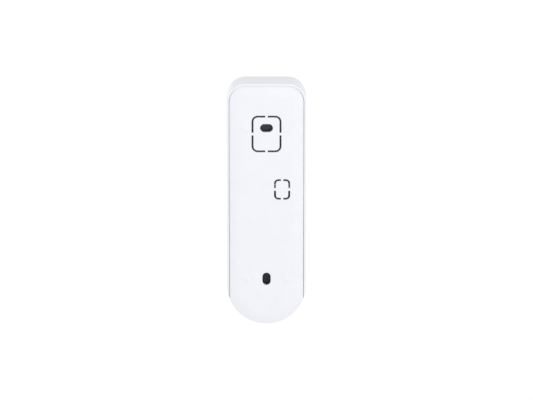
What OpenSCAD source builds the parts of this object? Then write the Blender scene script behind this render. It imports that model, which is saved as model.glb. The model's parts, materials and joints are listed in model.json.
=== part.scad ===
// Video doorbell: a unit that hooks onto a mounting plate and locks with one screw.
// The wall is the plane y = 0, the unit faces -Y and +Z is up.
// A depth is a distance in front of the wall, so depth d lies at y = -d.

/* [Body] */
// Width of the body
body_w = 47; // [46:0.5:50]
// Height of the body
body_h = 145; // [144:0.5:150]
// Depth from the wall to the front face
body_d = 28; // [28:0.5:32]
// Radius of the two upper corners
corner_r = 11; // [9:0.5:12]
// Radius of the rounded edge around the front face
front_round = 3.2; // [2:0.2:4]
// Thickness of the side walls and of the front wall
wall = 2; // [1.8:0.1:2.1]

/* [Mounting plate] */
// Thickness of the mounting plate
plate_t = 2.4; // [2.2:0.1:2.6]
// Width of the body's rim around the plate
rim_w = 1.2; // [1:0.1:1.4]
// Gap between the rim and the plate
plate_gap = 0.35; // [0.2:0.05:0.5]
// Height of the upper screw slot above the middle of the body
upper_slot_z = 46; // [45:0.25:46.5]
// Height of the lower screw slot above the middle of the body
lower_slot_z = -45; // [-45.5:0.25:-44]
// Width of both screw slots
slot_w = 4.8; // [4.2:0.1:5.2]
// Length of both screw slots
slot_l = 7.5; // [6.5:0.1:8]
// Width of the slits around the break-out panels
slit_w = 1; // [0.8:0.1:1.2]
// Width of the bridges that hold a break-out panel
bridge_w = 1.5; // [1:0.1:2]

/* [Movement] */
// Distance that the unit slides up to leave the hooks
release_travel = 5.2; // [5:0.1:5.4]
// Travel of the bell button
button_travel = 0.6; // [0.3:0.1:0.6]
// Travel of the tamper pin and of the reset button
pin_travel = 0.5; // [0.3:0.1:0.6]
// Sideways travel of the night filter
filter_pitch = 6; // [5.8:0.1:6.2]

/* [Front] */
// Radius of the bell button
button_r = 14; // [13:0.5:14]
// Width of the lit ring around the button
ring_w = 2.2; // [1.8:0.1:2.4]
// Width of the dark camera window
window_w = 33; // [31:0.5:34]
// Height of the dark camera window
window_h = 40; // [38:0.5:40]
// Radius of the clear lens window
lens_r = 7; // [6.5:0.25:7.5]

/* [Hidden] */
$fn = 64;
half_w = body_w / 2;
top_z = body_h / 2;
arc_z = half_w - top_z;          // centre of the round lower end, and of the button
play = 0.15;                     // gap around a cover that sits in a frame
slip = 0.05;                     // gap of a sliding fit
bite = 0.1;                      // overlap that joins two forms of one part

// Depths of the layers, from the wall outwards
rim_d = 0.4;
cover_d = plate_t + 0.4;
cover_t = 2;
ledge_d = cover_d + cover_t;
ledge_t = 3;
pocket_d = 6;
shell_t = 1.2;
bulge_d = pocket_d + shell_t;
board_d = 12;
board_t = 1.6;
board_front_d = board_d + board_t;
front_in_d = body_d - wall;

// Foot of the plate, and the floor of the body above it
foot_d = 9;
foot_top_z = 6.5 - top_z;
floor_z = foot_top_z + 0.3;
floor_t = 3.5;
lock_d = 5.6;                    // depth of the security screw's axis
lock_head_z = 1.2 - top_z;
insert_h = 2.8;
insert_r = 2.2;
cover_bottom_z = floor_z + insert_h + 0.1;

// Hooks of the plate, and the pockets of the rear cover that they hold
hook_x = 12;
hook_l = 4.4;
hook_stem_w = 3;
hook_head_w = 5.6;
hook_neck_d = 4.2;
hook_head_d = 5.6;
pocket_w = 6.4;
pocket_l = hook_l + release_travel + 0.5;
lip_l = hook_l + 0.4;
hooks = [for (sx = [-1, 1], z = [upper_slot_z, lower_slot_z]) [sx * hook_x, z]];

// Room for the heads of the wall screws, along and across each slot
head_r = 4.1;
head_l = slot_l - slot_w + 2 * head_r;
lower_recess_d = 8;

// Break-out panels: width, height and corner radius
tamper_panel = [17.6, 21.9, 3.6];
tamper_panel_z = 42.5;
cable_panel = [9.5, 12.3, 2.5];
cable_panel_at = [-9.2, 9.2];

// Screws
cover_screws = [for (sx = [-1, 1], z = [56, 10, -36]) [sx * (half_w - 4.5), z]];
cover_boss_r = 2.8;
cover_boss_l = 7.5;
board_screws = [for (sx = [-1, 1], p = [[11, top_z - 4.3], [13, -24.5]]) [sx * p[0], p[1]]];
board_boss_r = 2.4;
ring_screws = [for (a = [30, 150, 270]) [0, arc_z] + (half_w - 4.1) * [cos(a), sin(a)]];
ring_boss_r = 1.9;
pilot_r = 0.85;

// Pins through the rear cover, and their switches on the board
tamper_at = [0, 35.2];
tamper_r = 1.2;
reset_at = [0, 27];
reset_r = 1.8;
switch_d = 8.9;

// Terminals for the bell wires
terminal = [10.4, 9.6];
terminal_d = 6.6;
terminal_seat_d = 8.6;
terminals = [for (s = [-1, 1]) cable_panel_at + [s * 2.55, 0]];

// Front wall: camera window, motion sensor, speaker and microphone
window_t = 1.2;
window_flange_d = front_in_d - 0.8;
window_z = top_z - 5.5 - window_h / 2;
window = [window_w, window_h, 8];
lens_at = [0, 51];
led_x = 9.5;
led_z = 34.5;
pir_at = [0, 14];
pir_size = [20, 11, 4];
speaker_at = [0, -9.6];
speaker_r = 11;
speaker_d = front_in_d - 0.6;
microphone_at = [0, -24.5];
microphone_t = 1.1;

// Camera stack
camera_d = board_front_d + 1.2;
sensor_d = camera_d + 1;
filter_d = sensor_d + 1.9;
filter_t = 0.8;
filter_r = 2.8;
filter_slide = [14, 9];
holder = [28, 13];
holder_at = lens_at + [2, 0];
holder_d = sensor_d + 3.6;
coil_x = 13.6;
coil_r = 1.5;
camera_screws = [for (s = [-1, 1]) lens_at + s * [-10.2, 9]];
camera_boss_r = 2.1;
led_board_d = front_in_d - 5;
led_board_t = 1;
led_posts = [for (s = [-1, 1]) [s * 3.5, led_z - 1.4]];

// Bell button, its lit ring and its board
ring_in_r = button_r + 0.2;
ring_out_r = ring_in_r + ring_w;
skirt_in_r = ring_out_r - 0.8;
skirt_out_r = ring_out_r + 0.8;
well_in_r = skirt_out_r + 0.2;
well_out_r = well_in_r + 1.2;
flange_d = front_in_d - 1.5;
button_face_d = body_d + 0.5;
button_dish = 0.5;
button_edge_r = 0.8;
button_board_d = 14;
button_board_t = 1.6;
button_front_d = button_board_d + button_board_t;
skirt_d = button_front_d + 1.3;
switch_top_d = 18.9;
plunger_top_d = 19.5;
seal_d = 21.4;

// Flat cables: width, thickness and place across
flex_t = 0.2;
camera_flex_w = 8;
camera_plug_at = [0, 36.5];
button_flex_w = 6.4;
button_plug_at = [-6.6, -22.6];
led_plug_at = [-10, 37];

// Speaker leads and the antenna's cable
lead_r = 0.45;
lead_d = speaker_d - 5.8;
speaker_plug_at = [-9.2, 9];
antenna_r = 0.5;
antenna_d = 16.2;
antenna_plug_at = [14, 2];
antenna_z = 12;

// ---- Helpers -------------------------------------------------------------------

// Extrudes an outline drawn in X and Z from depth d0 to depth d1.
module slab(d0, d1) {
    translate([0, -d0, 0]) rotate([90, 0, 0]) linear_extrude(d1 - d0) children();
}

// A round rod along Y at [x, z], from depth d0 to depth d1.
module rod(d0, d1, r, at = [0, 0]) {
    translate([at[0], -d0, at[1]]) rotate([90, 0, 0]) cylinder(h = d1 - d0, r = r);
}

// A tube along Y.
module tube(d0, d1, r_in, r_out, at = [0, 0]) {
    difference() {
        rod(d0, d1, r_out, at);
        rod(d0 - 1, d1 + 1, r_in, at);
    }
}

// A block of a width and height centred on [x, z], from depth d0 to depth d1.
module block(d0, d1, size, at = [0, 0]) {
    translate([at[0] - size[0] / 2, -d1, at[1] - size[1] / 2])
        cube([size[0], d1 - d0, size[1]]);
}

// A ball on the depth line at [x, z].
module ball(d, r, at = [0, 0]) {
    translate([at[0], -d, at[1]]) sphere(r = r);
}

// A rounded rectangle of a width, height and corner radius, grown outwards.
module rounded(size, grow = 0) {
    w = size[0] / 2 + grow;
    h = size[1] / 2 + grow;
    r = size[2] + grow;
    union() {
        square([2 * w, 2 * (h - r)], center = true);
        square([2 * (w - r), 2 * h], center = true);
        for (sx = [-1, 1], sz = [-1, 1])
            translate([sx * (w - r), sz * (h - r)]) circle(r = r);
    }
}

// A slot with round ends, its length along the first axis.
module slot(l, w) {
    union() {
        square([l - w, w], center = true);
        for (s = [-1, 1])
            translate([s * (l - w) / 2, 0]) circle(r = w / 2);
    }
}

// The body's outline, moved inwards by inset.
module outline(inset = 0) {
    w = half_w - inset;
    r = corner_r - inset;
    knee_z = top_z - corner_r;
    union() {
        translate([0, arc_z]) circle(r = w);
        translate([-w, arc_z]) square([2 * w, knee_z - arc_z]);
        translate([r - w, knee_z - 1]) square([2 * (w - r), r + 1]);
        for (s = [-1, 1])
            translate([s * (w - r), knee_z]) circle(r = r);
    }
}

// The same outline, without the part below z.
module outline_above(inset, z) {
    intersection() {
        outline(inset);
        translate([-half_w, z]) square([body_w, body_h]);
    }
}

// Everything below z, for cutting the foot's room out of the body.
module below(z) {
    translate([-body_w, z - body_h]) square([2 * body_w, body_h]);
}

// A screw along Y with a cross recess, its head towards the wall.
module screw(head_d, shaft_l, at) {
    head_t = 1.1;
    recess = [2.4, head_t, 0.55];
    difference() {
        union() {
            rod(head_d, head_d + head_t, 1.9, at);
            rod(head_d + head_t - bite, head_d + head_t + shaft_l, pilot_r, at);
        }
        for (a = [0, 90])
            translate([at[0], -head_d, at[1]]) rotate([0, a, 0]) cube(recess, center = true);
    }
}

// ---- Mounting plate --------------------------------------------------------------

// Inset at the sides and the top, flush with the body at the foot.
module plate_outline(gap) {
    inset = rim_w + gap;
    union() {
        outline(inset);
        intersection() {
            translate([0, arc_z]) circle(r = half_w);
            translate([inset - half_w, -top_z]) square([body_w - 2 * inset, half_w]);
        }
    }
}

// The slit around a break-out panel, broken by four bridges.
module panel_slit(size) {
    difference() {
        panel_groove(size);
        square([bridge_w, size[1] + 1], center = true);
        square([size[0] + 1, bridge_w], center = true);
    }
}

// The full ring of the slit, which thins the bridges from the inner side.
module panel_groove(size) {
    difference() {
        rounded(size);
        rounded(size, -slit_w);
    }
}

module break_out(size, at) {
    slab(-1, plate_t + 1) translate(at) panel_slit(size);
    slab(plate_t / 2, plate_t + 1) translate(at) panel_groove(size);
}

module hook(at) {
    block(plate_t - bite, hook_head_d, [hook_stem_w, hook_l], at);
    block(hook_neck_d, hook_head_d, [hook_head_w, hook_l], at);
}

module foot() {
    slab(plate_t - bite, foot_d) intersection() {
        translate([0, arc_z]) circle(r = half_w);
        below(foot_top_z);
    }
}

module mounting_plate() {
    color("white") difference() {
        union() {
            slab(0, plate_t) plate_outline(plate_gap);
            foot();
            for (at = hooks) hook(at);
        }
        slab(-1, plate_t + 1) translate([0, upper_slot_z]) slot(slot_l, slot_w);
        slab(-1, plate_t + 1) translate([0, lower_slot_z]) rotate(90) slot(slot_l, slot_w);
        break_out(tamper_panel, [0, tamper_panel_z]);
        break_out(cable_panel, cable_panel_at);
        translate([0, -lock_d, -top_z - 1]) cylinder(h = 20, r = 1.6);
        translate([0, -lock_d, -top_z - 1]) cylinder(h = lock_head_z + top_z + 3, r = 2.9);
    }
}

module security_screw() {
    head_h = 1.9;
    color("silver") translate([0, -lock_d, lock_head_z]) difference() {
        union() {
            cylinder(h = head_h, r = 2.6);
            cylinder(h = floor_z + insert_h - lock_head_z - 0.3, r = 1.45);
        }
        translate([0, 0, -1]) cylinder(h = 2.2, r = 1.15, $fn = 6);
    }
}

// ---- Front housing -----------------------------------------------------------------

// The solid outer form of the body, with its rounded front edge.
module outer_form() {
    hull() {
        for (a = [0 : 15 : 90])
            slab(rim_d, body_d - front_round * (1 - sin(a)))
                outline(front_round * (1 - cos(a)));
    }
}

// The inside, the seat of the rear cover, and the room for the plate and its foot.
module housing_cavity() {
    slab(ledge_d + ledge_t, front_in_d) outline_above(wall, floor_z + floor_t);
    slab(foot_d + 2.3, front_in_d) outline(wall);
    slab(ledge_d - 1, ledge_d + ledge_t + bite) outline_above(rim_w + 2.6, floor_z + 5.3);
    slab(cover_d - bite, ledge_d) outline_above(rim_w, cover_bottom_z);
    slab(-1, cover_d) plate_outline(0);
    slab(-1, foot_d + 0.3) below(floor_z);
}

// The gasket's groove, or the gasket itself.
module gasket_ring(grow) {
    difference() {
        outline_above(rim_w + 0.7 - grow, floor_z + 3.6 - grow);
        outline_above(rim_w + 1.7 + grow, floor_z + 4.6 + grow);
    }
}

// Slits of the speaker's grille, longest in the middle.
module grille() {
    for (row = [-2 : 2])
        slab(front_in_d - 1, body_d + 1)
            translate(speaker_at + [0, row * 2.8]) slot(16 - 2 * abs(row), 1.3);
}

module front_openings() {
    at = [0, window_z];
    slab(body_d - window_t, body_d + 1) translate(at) rounded(window, bite);
    slab(front_in_d - 1, body_d) translate(at) rounded(window, -1.3);
    slab(front_in_d - 1, body_d + 1) translate(pir_at) rounded(pir_size, bite);
    grille();
    rod(front_in_d - 1, body_d + 1, 0.7, microphone_at);
    rod(front_in_d - 1, body_d + 1, ring_out_r + bite, [0, arc_z]);
}

module housing_bosses() {
    for (at = cover_screws)
        rod(ledge_d, ledge_d + cover_boss_l, cover_boss_r, at);
    for (at = board_screws)
        rod(board_front_d, front_in_d + bite, board_boss_r, at);
    for (at = ring_screws)
        rod(button_front_d, front_in_d + bite, ring_boss_r, at);
    tube(button_front_d, front_in_d + bite, well_in_r, well_out_r, [0, arc_z]);
    tube(speaker_d - 2, front_in_d + bite, speaker_r + bite, speaker_r + 1.3, speaker_at);
}

module front_housing() {
    color("white") difference() {
        union() {
            difference() {
                outer_form();
                housing_cavity();
            }
            housing_bosses();
        }
        front_openings();
        slab(ledge_d - 1, ledge_d + 0.8) gasket_ring(slip);
        for (at = cover_screws) rod(ledge_d - 1, ledge_d + 6, pilot_r, at);
        for (at = board_screws) rod(board_front_d - 1, board_front_d + 6, pilot_r, at);
        for (at = ring_screws) rod(button_front_d - 1, button_front_d + 6, pilot_r, at);
        translate([0, -lock_d, floor_z - 1]) cylinder(h = insert_h + 1, r = insert_r);
    }
}

module security_insert() {
    color("gold") translate([0, -lock_d, floor_z]) difference() {
        cylinder(h = insert_h, r = insert_r);
        translate([0, 0, -1]) cylinder(h = insert_h + 2, r = 1.55);
    }
}

// ---- Rear cover ----------------------------------------------------------------------

// The pocket below a hook's seat, grown outwards for the shell around it.
module hook_pocket(d0, d1, at, grow = 0) {
    top = at[1] + hook_l / 2 + slip;
    block(d0, d1, [pocket_w + 2 * grow, pocket_l + 2 * grow], [at[0], top - pocket_l / 2]);
}

// The two lips that a hook's head grips from behind.
module hook_lips(at) {
    lip_w = (pocket_w - hook_stem_w) / 2 - 0.2;
    top = at[1] + hook_l / 2 + slip;
    for (s = [-1, 1])
        block(cover_d, hook_neck_d - 0.2, [lip_w, lip_l],
              [at[0] + s * (pocket_w - lip_w) / 2, top - lip_l / 2]);
}

// Room for the upper wall screw's head as the unit slides up.
module upper_recess(grow = 0) {
    l = head_l + 2 * grow;
    w = 2 * (head_r + grow);
    translate([0, upper_slot_z]) union() {
        slot(l, w);
        translate([0, -release_travel]) slot(l, w);
        translate([-l / 2, -release_travel]) square([l, release_travel]);
    }
}

// The same for the lower wall screw, whose slot is upright.
module lower_recess(grow = 0) {
    translate([0, lower_slot_z - release_travel / 2]) rotate(90)
        slot(head_l + release_travel + 2 * grow, 2 * (head_r + grow));
}

module terminal_window(d0, d1, grow) {
    block(d0, d1, terminal + [2 * grow, 2 * grow], cable_panel_at);
}

module rear_cover() {
    color([0.2, 0.21, 0.22]) {
        difference() {
            union() {
                slab(cover_d, ledge_d) outline_above(rim_w + play, cover_bottom_z + play);
                for (at = hooks) hook_pocket(ledge_d - bite, bulge_d, at, shell_t);
                slab(ledge_d - bite, bulge_d) upper_recess(1);
                slab(ledge_d - bite, lower_recess_d + shell_t) lower_recess(1);
                terminal_window(ledge_d - bite, terminal_seat_d, 1.3);
                rod(ledge_d - bite, bulge_d, tamper_r + 1.5, tamper_at);
                rod(ledge_d - bite, bulge_d, reset_r + 1.5, reset_at);
            }
            for (at = hooks) hook_pocket(cover_d - 1, pocket_d, at);
            slab(cover_d - 1, pocket_d) upper_recess();
            slab(cover_d - 1, lower_recess_d) lower_recess();
            terminal_window(cover_d - 1, terminal_seat_d + 1, 0.2);
            pin_bore(tamper_r, tamper_at);
            pin_bore(reset_r, reset_at);
            for (at = cover_screws) {
                rod(cover_d - 1, ledge_d + 1, pilot_r + 0.2, at);
                rod(cover_d - 1, cover_d + 1.2, 2.1, at);
            }
        }
        for (at = hooks) hook_lips(at);
    }
}

// The bore of a pin, wider at its inner end for the seal.
module pin_bore(r, at) {
    rod(cover_d - 1, bulge_d + 1, r + slip, at);
    rod(bulge_d - 0.8, bulge_d + 1, r + 0.8, at);
}

module rear_gasket() {
    color("dimgray") slab(ledge_d, ledge_d + 0.8) gasket_ring(0);
}

module rear_cover_screws() {
    color("silver") for (at = cover_screws) screw(cover_d + bite, 5.4, at);
}

module rating_label() {
    color("whitesmoke") slab(cover_d - 0.12, cover_d)
        translate([0, -17]) rounded([13, 30, 1]);
}

module terminal_block() {
    color("seagreen") difference() {
        block(terminal_d, board_d, terminal, cable_panel_at);
        for (at = terminals) {
            block(terminal_d - 1, terminal_d + 2, [4.4, 7], at - [0, 1.4]);
            rod(terminal_d, terminal_d + 5, pilot_r, at);
        }
    }
}

module terminal_screws() {
    color("silver") for (at = terminals) screw(terminal_d + 0.2, 3, at);
}

module terminal_washers() {
    color("silver") for (at = terminals) difference() {
        block(terminal_d + 1.3, terminal_d + 2, [4, 4], at);
        rod(terminal_d, terminal_d + 3, pilot_r + slip, at);
    }
}

module terminal_seal() {
    color("dimgray") difference() {
        terminal_window(terminal_seat_d, board_d, 1.3);
        terminal_window(terminal_seat_d - 1, board_d + 1, 0.1);
    }
}

// A stepped pin: its outer end, the collar that keeps it in, and the switch's actuator.
module stepped_pin(end_d, r, at) {
    rod(end_d, switch_d - 0.7, r, at);
    rod(bulge_d + slip, switch_d - 1, r + 0.5, at);
    rod(switch_d - 0.8, switch_d + 0.5, 0.7, at);
}

module pin_switch(at) {
    color([0.15, 0.15, 0.16]) difference() {
        block(switch_d, board_d, [6, 6], at);
        rod(switch_d - 1, switch_d + 1.3, 0.8, at);
    }
}

module tamper_pin() {
    color("white") stepped_pin(plate_t + slip, tamper_r, tamper_at);
}

module tamper_switch() {
    pin_switch(tamper_at);
}

module reset_button() {
    color("orange") stepped_pin(cover_d + 0.4, reset_r, reset_at);
}

module reset_switch() {
    pin_switch(reset_at);
}

module pin_seals() {
    color("dimgray") {
        tube(bulge_d - 0.8, bulge_d, tamper_r + slip, tamper_r + 0.8, tamper_at);
        tube(bulge_d - 0.8, bulge_d, reset_r + slip, reset_r + 0.8, reset_at);
    }
}

// ---- Main board --------------------------------------------------------------------------

module main_board() {
    bottom_z = -27;
    top = top_z - 2.9;
    color([0.05, 0.3, 0.18]) difference() {
        block(board_d, board_front_d, [31.6, top - bottom_z], [0, (top + bottom_z) / 2]);
        for (at = board_screws) rod(board_d - 1, board_front_d + 1, pilot_r + 0.2, at);
    }
}

// The screws of the main board, of the button's board and of the camera are the same.
module board_screws() {
    color("silver") {
        for (at = board_screws) screw(board_d - 1.1, 6.4, at);
        for (at = ring_screws) screw(button_board_d - 1.1, 6.4, at);
        for (at = camera_screws) screw(camera_d - 1.1, 6.4, at);
    }
}

module processor_shield() {
    color("silver") block(board_front_d, board_front_d + 2.4, [20, 15], [3.5, 26.5]);
}

module radio_shield() {
    color("silver") block(board_front_d, board_front_d + 2, [13, 17], [7.5, -10]);
}

// Packages on one side of the board: each is [x, z], width, height, thickness.
front_chips = [
    [[-8.5, -2], 8, 10, 1], [[-8, -15], 6, 5, 1.2], [[-12.5, 20], 5, 5, 0.9],
    [[-12, 28], 4, 6, 1]
];
rear_chips = [
    [[9, 12], 6, 5, 1.5], [[10, 27], 5, 7, 2], [[-11, -8], 5, 4, 1.2],
    [[10, -6], 6, 8, 1.6], [[-11, 30], 5, 5, 1.2]
];

module board_chips() {
    color([0.1, 0.1, 0.1]) {
        for (c = front_chips) block(board_front_d, board_front_d + c[3], [c[1], c[2]], c[0]);
        for (c = rear_chips) block(board_d - c[3], board_d, [c[1], c[2]], c[0]);
    }
}

// A connector on the board's front, with a slit for a flat cable at depth flex_d.
module flex_connector(h, size, at, flex_d, flex_w, side) {
    difference() {
        block(board_front_d, board_front_d + h, size, at);
        block(flex_d, flex_d + flex_t, [flex_w, size[1]], at + [0, side * size[1] / 4]);
    }
}

module board_connectors() {
    color("ivory") {
        flex_connector(1.5, [9, 3.5], camera_plug_at, camera_d - flex_t, camera_flex_w, 1);
        flex_connector(1, [7.2, 3], button_plug_at, button_board_d - flex_t,
                       button_flex_w, -1);
        block(board_front_d, board_front_d + 1, [4, 3], led_plug_at);
        block(board_front_d, board_front_d + 3, [6, 4], speaker_plug_at);
        block(board_front_d, board_front_d + 0.8, [2.4, 2.4], antenna_plug_at);
    }
}

module supercapacitors() {
    r = 3.3;
    color("navy") for (s = [-1, 1])
        translate([s * (r + 0.4), r - board_d, -25]) cylinder(h = 17, r = r);
}

module power_inductor() {
    at = [1.5, 17];
    color([0.25, 0.25, 0.27]) difference() {
        block(board_d - 4.4, board_d, [7.4, 7.4], at);
        rod(board_d - 5, board_d - 3.8, 2.4, at);
    }
}

module wifi_antenna() {
    t = 0.35;
    color("goldenrod") translate([half_w - wall - t, -24, antenna_z]) cube([t, 8, 36]);
}

// A thin coaxial cable from the antenna down to its plug beside the radio.
module antenna_cable() {
    x = half_w - wall - 0.35 - antenna_r;
    z = antenna_plug_at[1];
    color("black") {
        translate([x, -antenna_d, z]) cylinder(h = antenna_z + 2 - z, r = antenna_r);
        ball(antenna_d, antenna_r, [x, z]);
        translate([antenna_plug_at[0], -antenna_d, z]) rotate([0, 90, 0])
            cylinder(h = x - antenna_plug_at[0], r = antenna_r);
        ball(antenna_d, antenna_r, antenna_plug_at);
        rod(board_front_d + 0.8, antenna_d, antenna_r, antenna_plug_at);
    }
}

// ---- Camera --------------------------------------------------------------------------------

module camera_bezel() {
    color([0.02, 0.02, 0.02]) difference() {
        union() {
            slab(body_d - window_t, body_d) translate([0, window_z]) rounded(window);
            slab(window_flange_d, body_d) translate([0, window_z]) rounded(window, -1.4);
            for (at = camera_screws) rod(sensor_d, window_flange_d + bite, camera_boss_r, at);
            for (at = led_posts) {
                rod(led_board_d + led_board_t, window_flange_d + bite, 1.5, at);
                rod(led_board_d - 0.6, window_flange_d, 0.8, at);
            }
        }
        rod(window_flange_d - 1, body_d + 1, lens_r + 1.5, lens_at);
        for (s = [-1, 1]) rod(window_flange_d - 1, body_d - 0.8, 2.9, [s * led_x, led_z]);
        for (at = camera_screws) rod(sensor_d - 1, sensor_d + 6, pilot_r, at);
    }
}

module lens_ring() {
    color([0.3, 0.3, 0.32]) difference() {
        rod(window_flange_d, body_d + 0.3, lens_r + 1.5, lens_at);
        rod(window_flange_d - 1, body_d + 1, lens_r - 0.8, lens_at);
        rod(body_d - 1.1, body_d + 1, lens_r, lens_at);
    }
}

module lens_window() {
    color([0.8, 0.85, 0.9, 0.4]) rod(body_d - 1.1, body_d - 0.1, lens_r, lens_at);
}

module lens_barrel() {
    tip_d = front_in_d - 1;
    color([0.08, 0.08, 0.08]) difference() {
        union() {
            rod(holder_d, tip_d, 4.9, lens_at);
            rod(tip_d - 2.5, tip_d, 6.2, lens_at);
        }
        rod(holder_d - 1, tip_d + 1, 3.4, lens_at);
        rod(tip_d - 1.6, tip_d + 1, 4.6, lens_at);
    }
}

module lens_elements() {
    front_d = front_in_d - 2.6;
    color([0.35, 0.3, 0.6, 0.5]) {
        rod(holder_d + 0.4, holder_d + 1.6, 3.4, lens_at);
        intersection() {
            rod(front_d, front_in_d, 4.55, lens_at);
            ball(front_d - 4, 6.1, lens_at);
        }
    }
}

// The lens holder with the channel that the night filter slides in.
module filter_housing() {
    channel = [filter_slide[0] + filter_pitch + 0.8, filter_slide[1] + 0.4];
    color([0.12, 0.12, 0.12]) difference() {
        union() {
            block(sensor_d, holder_d, holder, holder_at);
            tube(holder_d - bite, holder_d + 1.4, 4.95, 6.4, lens_at);
        }
        block(sensor_d - 1, sensor_d + 1.5, [10, 10], lens_at);
        rod(sensor_d, holder_d + 1, 3.6, lens_at);
        block(filter_d - bite, filter_d + filter_t + bite, channel, lens_at);
        block(sensor_d - 1, holder_d - 0.3, [2 * coil_r, 8.4], [coil_x, lens_at[1]]);
    }
}

module filter_coil() {
    h = 8;
    color("chocolate") translate([coil_x, -sensor_d - coil_r - 0.2, lens_at[1] - h / 2])
        difference() {
            cylinder(h = h, r = coil_r);
            translate([0, 0, -1]) cylinder(h = h + 2, r = 0.6);
        }
}

filter_holes = [for (x = [-filter_pitch, 0]) lens_at + [x, 0]];

module filter_slider() {
    color([0.2, 0.2, 0.2]) difference() {
        block(filter_d, filter_d + filter_t, filter_slide, lens_at - [filter_pitch / 2, 0]);
        for (at = filter_holes) rod(filter_d - 1, filter_d + 2, filter_r, at);
    }
}

module filter_glasses() {
    color("lightcyan") for (at = filter_holes)
        rod(filter_d + 0.1, filter_d + filter_t - 0.1, filter_r, at);
}

module sensor_board() {
    color([0.05, 0.3, 0.18]) difference() {
        block(camera_d, sensor_d, [24.6, 23.4], lens_at);
        for (at = camera_screws) rod(camera_d - 1, sensor_d + 1, pilot_r + 0.2, at);
    }
}

module image_sensor() {
    color([0.2, 0.2, 0.25]) block(sensor_d, sensor_d + 1.1, [8.6, 8.6], lens_at);
}

module camera_flex() {
    color("darkorange") block(camera_d - flex_t, camera_d, [camera_flex_w - 0.2, 6.6],
                              camera_plug_at + [0, 4]);
}

module ir_led_board() {
    color([0.05, 0.3, 0.18]) difference() {
        block(led_board_d, led_board_d + led_board_t, [27, 7.5], [0, led_z]);
        block(led_board_d - 1, led_board_d + 2, [8, 4], [0, led_z + 3]);
        for (at = led_posts) rod(led_board_d - 1, led_board_d + 2, 0.85, at);
    }
}

module ir_leds() {
    r = 2.2;
    base_d = led_board_d + led_board_t;
    color([0.75, 0.72, 0.8]) for (s = [-1, 1]) {
        at = [s * led_x, led_z];
        rod(base_d, base_d + 1, r + 0.4, at);
        rod(base_d, base_d + 2.3, r, at);
        ball(base_d + 2.3, r, at);
    }
}

module ir_led_flex() {
    color("darkorange") block(board_front_d + 1, led_board_d, [3, flex_t], led_plug_at);
}

module pir_lens() {
    color([0.93, 0.94, 0.94]) {
        slab(front_in_d - bite, body_d + 0.4) translate(pir_at) rounded(pir_size);
        slab(front_in_d - 1, front_in_d) translate(pir_at) rounded(pir_size, 1.2);
    }
}

module pir_sensor() {
    top_d = board_front_d + 4.2;
    color("silver") difference() {
        union() {
            rod(board_front_d, top_d, 4.1, pir_at);
            rod(board_front_d, board_front_d + 0.5, 4.6, pir_at);
        }
        block(top_d - 0.3, top_d + 1, [4, 3], pir_at);
    }
}

// ---- Sound -----------------------------------------------------------------------------------

magnet_r = 7.2;
coil_out_r = 4.6;
coil_in_r = 4.2;

module speaker_frame() {
    color([0.15, 0.15, 0.16]) difference() {
        rod(speaker_d - 5, speaker_d, speaker_r, speaker_at);
        rod(speaker_d - 4, speaker_d + 1, speaker_r - 1.2, speaker_at);
        rod(speaker_d - 6, speaker_d, magnet_r, speaker_at);
    }
}

// A cup magnet with a pole in the middle of the voice coil's gap.
module speaker_magnet() {
    color("silver") difference() {
        rod(speaker_d - 6.8, speaker_d - 3.2, magnet_r, speaker_at);
        tube(speaker_d - 5, speaker_d, coil_in_r - 0.5, coil_out_r + 0.5, speaker_at);
    }
}

module speaker_cone() {
    dome_r = 9.4;
    color([0.1, 0.1, 0.1]) {
        tube(speaker_d - 1.3, speaker_d - 0.8, coil_out_r - bite, speaker_r - 1.25, speaker_at);
        tube(speaker_d - 4.2, speaker_d - 0.8, coil_in_r, coil_out_r, speaker_at);
        intersection() {
            rod(speaker_d - 3, speaker_d, coil_in_r + bite, speaker_at);
            difference() {
                ball(speaker_d - 0.5 - dome_r, dome_r, speaker_at);
                ball(speaker_d - 0.5 - dome_r, dome_r - 0.4, speaker_at);
            }
        }
    }
}

module speaker_mesh() {
    color([0.1, 0.1, 0.1]) rod(speaker_d, front_in_d, speaker_r, speaker_at);
}

// Two leads from the plug, down beside the motion sensor to the speaker's back.
module speaker_leads() {
    for (s = [-1, 1]) {
        x = speaker_plug_at[0] + s * 0.6;
        z = speaker_plug_at[1];
        end_z = speaker_at[1] + 2.4 - s * 0.7;
        color(s < 0 ? "red" : "black") {
            rod(board_front_d + 3, lead_d, lead_r, [x, z]);
            ball(lead_d, lead_r, [x, z]);
            translate([x, -lead_d, end_z]) cylinder(h = z - end_z, r = lead_r);
            ball(lead_d, lead_r, [x, end_z]);
            rod(lead_d, speaker_d - 5, lead_r, [x, end_z]);
        }
    }
}

module microphone() {
    color("gold")
        block(board_front_d, board_front_d + microphone_t, [3.8, 3], microphone_at);
}

module microphone_boot() {
    color("dimgray") tube(board_front_d + microphone_t, front_in_d, 0.8, 2.1, microphone_at);
}

// ---- Bell button --------------------------------------------------------------------------------

module light_ring() {
    at = [0, arc_z];
    color("azure") {
        tube(flange_d, body_d + 0.15, ring_in_r, ring_out_r, at);
        tube(skirt_d, flange_d + bite, skirt_in_r, skirt_out_r, at);
        tube(flange_d, front_in_d, ring_out_r - bite, skirt_out_r, at);
    }
}

// Half of the cap's section, as radius and height above the cap's rim.
function cap_section(h, rim_h, roof_t, flange_r) = concat(
    [[0, 0], [0, h - button_dish]],
    [for (t = [0.2 : 0.2 : 0.8]) [t * button_r, h - button_dish * (1 - t * t)]],
    [for (a = [90 : -30 : 0])
        [button_r - button_edge_r * (1 - cos(a)), h - button_edge_r * (1 - sin(a))]],
    [[button_r, rim_h], [flange_r, rim_h], [flange_r, 0], [button_r - 2, 0],
     [button_r - 2, h - roof_t], [2.6, h - roof_t], [2.6, 0]]
);

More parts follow.
